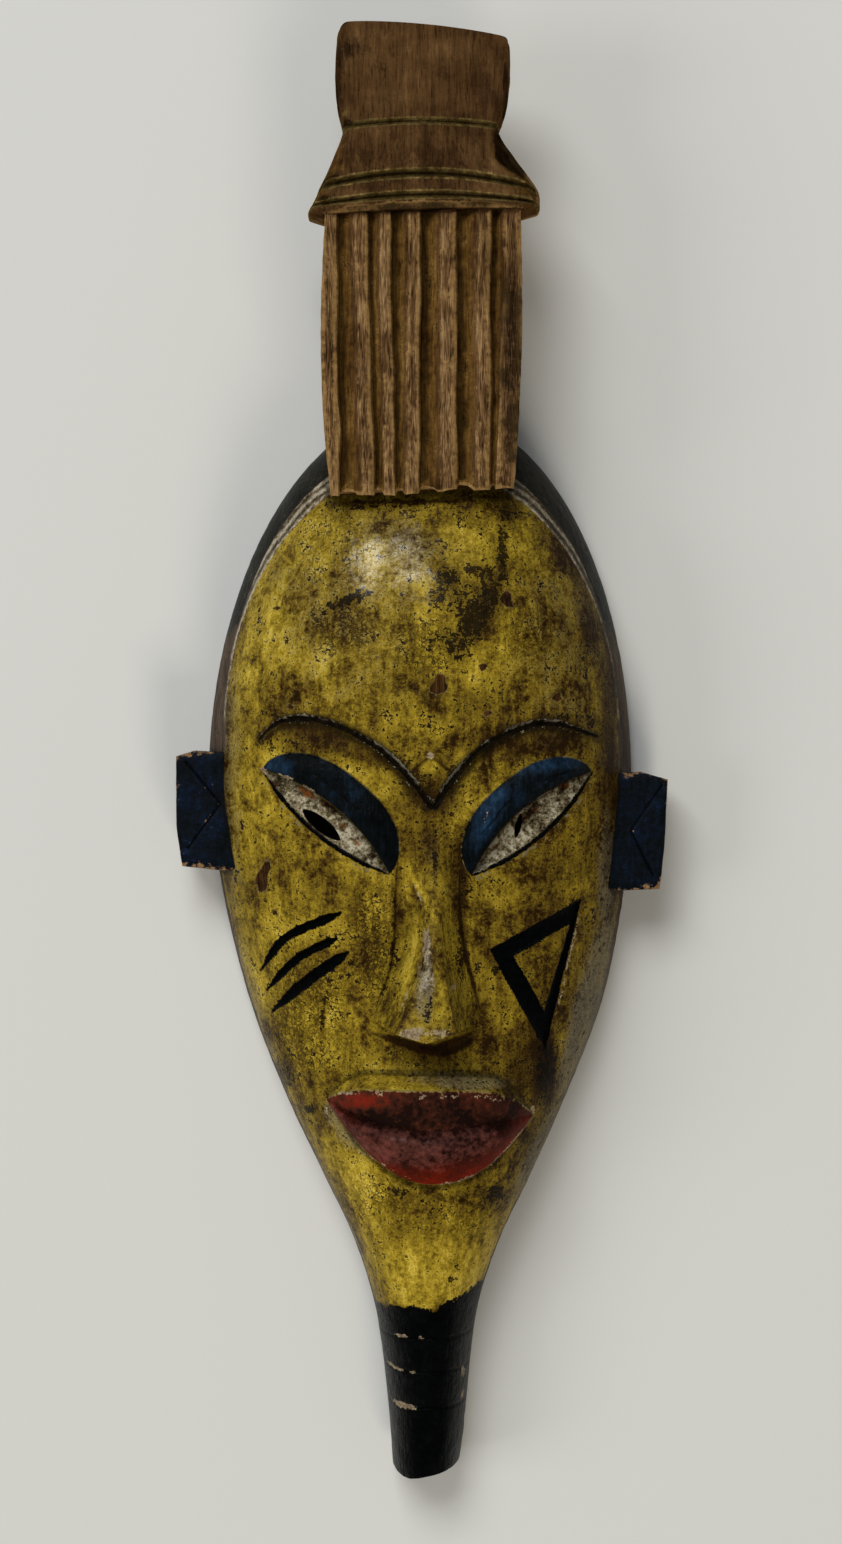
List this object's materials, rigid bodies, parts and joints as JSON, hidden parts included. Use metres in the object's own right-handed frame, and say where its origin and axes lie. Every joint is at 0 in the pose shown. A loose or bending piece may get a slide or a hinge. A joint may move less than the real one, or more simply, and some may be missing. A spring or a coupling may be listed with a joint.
{
  "type": "guro mask",
  "caption": "Long carved and painted wooden face mask with slanted eyes, square ears, a beard and a tall fluted crest; lies on its back rim, hollow behind.",
  "frame": {"origin": "on the floor, at the centre of the whole mask's outline as it lies on its back rim", "axes": "+Y along the mask to the top of the crest, +Z out of the face, +X to the right as seen from the front"},
  "size_m": [0.2084, 0.6096, 0.0902],
  "materials": {
    "painted_wood": "worn oil paint in yellow, black, dark blue, red and white over carved wood, with a stained bare crest"
  },
  "bodies": {
    "root": {"carved_mask": "painted_wood"}
  },
  "joints": []
}
